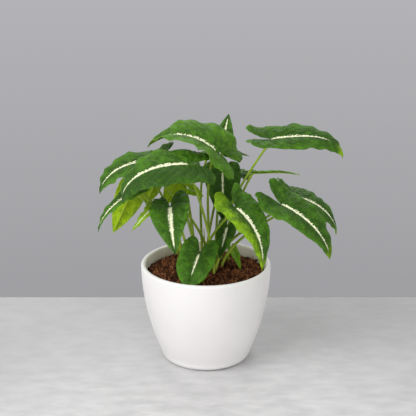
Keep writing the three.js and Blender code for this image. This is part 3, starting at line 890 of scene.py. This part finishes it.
def leaf_paint(leaf, flat, along, side, vein):
    """Two sets of painted values: (distance from the midrib, half width of the stripe, vein)
    and (way to the margin, youth, paleness). On left_underside the youth value is painted light
    shining through the leaf, and the paleness added on one half is painted light, and painted
    shade where it is below 0."""
    behind = np.minimum(flat[..., 1], 0) * leaf["lobe"]
    rib = np.hypot(flat[..., 0] * leaf["half_width"], behind)
    stripe = stripe_width(leaf, along) + 0 * rib
    half_young = leaf["young_right"] if side > 0 else leaf["young_left"]
    # Yellow-green for youth; on left_underside it is painted light shining through the leaf.
    young = leaf["young"] + half_young * smooth_step(0.1, 0.6, across)
    young = young + leaf["tip_young"] * smooth_step(0.68, 0.93, along)
    # The paleness given for one half is painted light, and painted shade where it is below 0.
    half_painted_shading = leaf["painted_shading_right"] if side > 0 else leaf["painted_shading_left"]
    light = leaf["light"] + half_painted_shading * smooth_step(0.0, 0.5, across)
    return (np.stack([rib, stripe, vein + 0 * rib], -1),
            np.stack([across + 0 * rib, np.clip(young, 0, 1) + 0 * rib, light + 0 * rib], -1))


# %% Leaf finishes
UPPER_SIDE = dict(
    roughness=0.45, specular=0.13, gloss=0.38, dark=(0.024, 0.072, 0.006),
    middle=(0.086, 0.235, 0.012), fresh=(0.26, 0.45, 0.008), vein=(0.12, 0.27, 0.03), vein_share=0.22)
UNDERSIDE = dict(
    roughness=0.6, specular=0.10, gloss=0.55, dark=(0.070, 0.16, 0.012),
    middle=(0.13, 0.27, 0.015), fresh=(0.29, 0.45, 0.010), vein=(0.34, 0.45, 0.10), vein_share=0.5)
STRIPE_COLOUR = (0.84, 0.86, 0.60)


def leaf_finish(name, look):
    """The upper side is dark and satin with the pale stripe; the underside is paler and dull,
    with stronger veins."""
    material, tree, shader, place = new_finish(name, roughness=look["roughness"],
                                               specular=look["specular"])
    rib, stripe, vein = painted(tree, "blade_lines")
    way, young, pale = painted(tree, "blade_tints")
    cloud = patches(tree, place, 120.0, 0.36, 0.66)
    cells = node(tree, "ShaderNodeTexVoronoi", {"Vector": place, "Scale": 330.0}, feature="SMOOTH_F1")
    net = cells.outputs["Distance"]
    fleck = patches(tree, place, 600.0, 0.35, 0.7)
    towards = calc(tree, "MULTIPLY", calc(tree, "POWER", way, 2.0), 0.45)
    # pale carries the painted light and painted shade given for one half.
    lightness = calc(tree, "ADD", calc(tree, "MULTIPLY", pale, 0.75), towards)
    lightness = calc(tree, "ADD", lightness, calc(tree, "MULTIPLY", cloud.outputs["Mask"], 0.45))
    lightness = calc(tree, "SUBTRACT", lightness, 0.22)
    lightness = ramp_between(tree, lightness, 0.0, 1.0)
    colour = blend_colours(tree, lightness, look["dark"], look["middle"])
    colour = blend_colours(tree, ramp_between(tree, net, 0.25, 0.85, 0.0, 0.4), colour, look["dark"])
    wave = calc(tree, "ABSOLUTE", calc(tree, "SINE", calc(tree, "MULTIPLY", vein, math.pi * VEINS)))
    line = ramp_between(tree, wave, 0.0, 0.35, 1.0, 0.0)
    line = calc(tree, "MULTIPLY", line, look["vein_share"])
    colour = blend_colours(tree, line, colour, look["vein"])
    cloudy = calc(tree, "SUBTRACT", cloud.outputs["Mask"], 0.5)
    # Yellow-green for youth, and painted light on the leaf that is lit through from behind.
    youth_and_glow = calc(tree, "ADD", young, calc(tree, "MULTIPLY", cloudy, calc(tree, "MULTIPLY", young, 0.8)))
    colour = blend_colours(tree, ramp_between(tree, youth_and_glow, 0.0, 1.0), colour, look["fresh"])
    freckles = calc(tree, "MULTIPLY", fleck.outputs["Mask"], 0.12)
    colour = blend_colours(tree, freckles, colour, look["dark"])
    if look is UPPER_SIDE:
        comb = node(tree, "ShaderNodeCombineXYZ", {"X": calc(tree, "MULTIPLY", vein, 46.0),
                                                   "Y": calc(tree, "MULTIPLY", rib, 0.7)})
        jag = node(tree, "ShaderNodeTexNoise", {"Vector": comb.outputs[0], "Scale": 1.0, "Detail": 3.0})
        feather = node(tree, "ShaderNodeMapRange", {
            "Value": jag.outputs["Fac"], "From Min": 0.42, "From Max": 0.70, "To Min": 0.65, "To Max": 2.2})
        edge = calc(tree, "MULTIPLY", stripe, feather.outputs["Result"])
        mask = ramp_between(tree, calc(tree, "SUBTRACT", edge, rib), -0.25, 0.35)
        mask = calc(tree, "MULTIPLY", mask, ramp_between(tree, stripe, 0.05, 0.4))
        colour = blend_colours(tree, mask, colour, STRIPE_COLOUR)
    tree.links.new(colour, shader.inputs["Base Color"])
    gloss = calc(tree, "ADD", calc(tree, "MULTIPLY", fleck.outputs["Mask"], 0.14), look["gloss"])
    tree.links.new(gloss, shader.inputs["Roughness"])
    pores = calc(tree, "MULTIPLY", fleck.outputs["Height"], 0.4)
    blisters = calc(tree, "ADD", calc(tree, "MULTIPLY", net, -0.8), pores)
    relief(tree, shader, blisters, 0.0013)
    return material


leaf_top = leaf_finish("leaf_upper_side", UPPER_SIDE)
leaf_under = leaf_finish("leaf_underside", UNDERSIDE)
print("leaf finishes:", leaf_top.name, leaf_under.name)

# %% Make the blades
def leaf_blade(name, leaf, number):
    """Both halves of one blade as one sheet, given its thickness by a Solidify modifier. The
    upper side takes the first material and the rest takes the second."""
    luck = np.random.default_rng(100 + number)
    flat = flat_rays(leaf["full"], lobe_t, long_t, across)
    lobe_share = leaf["lobe"] / leaf["length"]
    along = np.concatenate([(lobe_t - 1) * lobe_share, long_t])[:, None]
    points, lines, tints, faces = [], [], [], []
    one = grid_faces(*flat.shape[:2])
    for side in (1, -1):
        lift, vein = blade_lift(leaf, flat, along, side, luck)
        points.append(leaf["at"] + blade_points(leaf, flat, side, lift))
        line, tint = leaf_paint(leaf, flat, along, side, vein)
        lines.append(line)
        tints.append(tint)
        faces.append((one if side > 0 else one[:, ::-1]) + (0 if side > 0 else flat[..., 0].size))
    blade = mesh_piece("blade_" + name, np.concatenate(points) * MM, np.concatenate(faces),
                       {"blade_lines": np.concatenate(lines), "blade_tints": np.concatenate(tints)},
                       [leaf_top, leaf_under])
    sheet = blade.modifiers.new("thickness", "SOLIDIFY")
    sheet.thickness = BLADE * MM
    sheet.offset = -1
    sheet.material_offset = 1
    sheet.material_offset_rim = 1
    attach(blade, "root")
    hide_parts("leaf_" + name)
    return blade


blades = [leaf_blade(name, leaf, number) for number, (name, leaf) in enumerate(LEAVES.items())]
print("blades:", len(blades), "with", sum(len(blade.data.polygons) for blade in blades), "faces")

# %% [markdown]
# ## The stalks
#
# A stalk leaves the soil upright, bows out and meets its blade from behind and below. It
# doesn't stop there: it runs on under the blade as the midrib and thins out towards the tip.
# One tube along one smooth line makes both. It is thicker at the foot and swells again a
# little just under the blade.

# %% Stalk lines and tubes
STALK_SIDES = 14
STALK_RINGS = 44
RIB_RINGS = 22
STALK_FOOT, STALK_TOP = 1.7, 1.15       # radii in mm
STALK_SWELLING, RIB_END = 0.45, 0.25
STALK_DEPTH = 12.0
FOOT_BAND, HEAD_BAND = 0.3, 1.0         # mm of a measured mesh that count as its ends
FOOT_GREEN, STEM_GREEN = (0.40, 0.52, 0.055), (0.22, 0.37, 0.012)
CLOUD_GREEN, STREAK_GREEN = (0.12, 0.22, 0.022), (0.50, 0.58, 0.09)
TOP_GREEN = (0.36, 0.50, 0.04)


def stalk_root(name):
    """Where the stalk stands in the soil: the middle of the lowest points of the measured one."""
    corners = measured_points("stalk_" + name)
    lowest = corners[corners[:, 2] < corners[:, 2].min() + FOOT_BAND]
    return (lowest.min(0) + lowest.max(0)) / 2


def stalk_line(name, leaf):
    """A cubic curve from the root, upright at first, to just under the blade, and then the
    blade's own midrib line."""
    forward, right, up = leaf_axes(leaf)
    bottom = stalk_root(name)
    top = leaf["at"] - (BLADE + STALK_TOP * 0.9) * up
    rise = np.linalg.norm(top - bottom)
    arrival = up + leaf["lean"] * forward
    arrival /= np.linalg.norm(arrival)
    handles = np.array([bottom, bottom + [0, 0, 0.4 * rise], top - 0.3 * rise * arrival, top])
    stem = bezier(handles, np.linspace(0, 1, STALK_RINGS))
    share = np.linspace(0.03, 0.9, RIB_RINGS)
    middle, _, rib_up = midrib(leaf, share)
    thick = np.linspace(STALK_TOP * 0.75, RIB_END, RIB_RINGS)
    rib = leaf["at"] + middle - (BLADE + 0.35 + thick * 0.55)[:, None] * rib_up
    path = np.concatenate([stem[:-1], rib])
    height = np.linspace(0, 1, STALK_RINGS - 1)
    stem_radii = STALK_FOOT + (STALK_TOP - STALK_FOOT) * height ** 0.7
    stem_radii = stem_radii + STALK_SWELLING * smooth_step(0.9, 0.97, height)
    radii = np.concatenate([stem_radii, thick])
    along = np.concatenate([height, 1 + share])
    return path, radii, along, right


def stalk_finish():
    """Yellow-green with fine lengthwise streaks, paler at the foot and at the top."""
    material, tree, shader, place = new_finish("stalk_green", roughness=0.45, specular=0.2)
    along, turn, _ = painted(tree, "stalk_paint")
    comb = node(tree, "ShaderNodeCombineXYZ", {"X": calc(tree, "MULTIPLY", along, 3.0),
                                               "Y": calc(tree, "MULTIPLY", turn, 6.0)})
    streak = node(tree, "ShaderNodeTexNoise", {"Vector": comb.outputs[0], "Scale": 2.5, "Detail": 3.0})
    cloud = patches(tree, place, 60.0)
    colour = blend_colours(tree, ramp_between(tree, along, 0.1, 0.5), FOOT_GREEN, STEM_GREEN)
    cloudiness = calc(tree, "MULTIPLY", cloud.outputs["Mask"], 0.5)
    colour = blend_colours(tree, cloudiness, colour, CLOUD_GREEN)
    streaks = calc(tree, "MULTIPLY", streak.outputs["Fac"], 0.35)
    colour = blend_colours(tree, streaks, colour, STREAK_GREEN)
    colour = blend_colours(tree, ramp_between(tree, along, 0.88, 0.97), colour, TOP_GREEN)
    tree.links.new(colour, shader.inputs["Base Color"])
    gloss = calc(tree, "ADD", calc(tree, "MULTIPLY", streak.outputs["Fac"], 0.2), 0.34)
    tree.links.new(gloss, shader.inputs["Roughness"])
    relief(tree, shader, streak.outputs["Fac"], 0.0004)
    return material


stalk_green = stalk_finish()


def closed_tube(name, path, radii, along, beside):
    """A tube along a path whose two ends are drawn together to points. Each point is painted
    with the way along and the way round."""
    before = path[:1] - 0.001 * (path[1:2] - path[:1])
    after = path[-1:] + 0.3 * (path[-1:] - path[-2:-1])
    path = np.concatenate([before, path, after])
    radii = np.concatenate([[0], radii, [0]])
    along = np.concatenate([along[:1], along, along[-1:]])[:, None]
    points = tube_points(path, radii, beside, STALK_SIDES)
    turn = np.abs(np.linspace(-1, 1, STALK_SIDES, endpoint=False))
    paint = np.stack([along + 0 * turn, turn + 0 * along, 0 * along * turn], -1)
    return mesh_piece(name, points * MM, grid_faces(len(path), STALK_SIDES, wrap=True),
                      {"stalk_paint": paint}, [stalk_green])


for name, leaf in LEAVES.items():
    path, radii, along, right = stalk_line(name, leaf)
    stalk = closed_tube("stem_" + name, path, radii, along, right)
    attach(stalk, "root")
    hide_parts("stalk_" + name)
print("stalks:", len(LEAVES))

# %% [markdown]
# ## Spears
#
# New growth is a rolled leaf or a bare point that stands up between the stalks. It is a
# tapered tube, bent a little out of the upright.

# %% Spears
SPEARS = ("furled_leaf", "new_shoot")
SPEAR_FOOT, SPEAR_TIP = 1.5, 0.35


def spear(name):
    """A tapered tube from the soil to the tip of the measured spear: a square curve that
    leaves the soil upright."""
    low, high = (np.array(corner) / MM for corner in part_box(name))
    corners = measured_points(name)
    foot = corners[corners[:, 2] < low[2] + FOOT_BAND]
    head = corners[corners[:, 2] > high[2] - HEAD_BAND]
    bottom = (foot.min(0) + foot.max(0)) / 2
    top = (head.min(0) + head.max(0)) / 2
    handle = np.array([bottom[0], bottom[1], (bottom[2] + STALK_DEPTH + top[2]) / 2])
    t = np.linspace(0, 1, 30)[:, None]
    path = (1 - t) ** 2 * bottom + 2 * t * (1 - t) * handle + t ** 2 * top
    radii = SPEAR_FOOT + (SPEAR_TIP - SPEAR_FOOT) * t[:, 0] ** 1.3
    piece = closed_tube("spear_" + name, path, radii, t[:, 0], np.array([1.0, 0.0, 0.0]))
    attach(piece, "root")
    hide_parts(name)


for name in SPEARS:
    spear(name)
print("spears:", len(SPEARS))
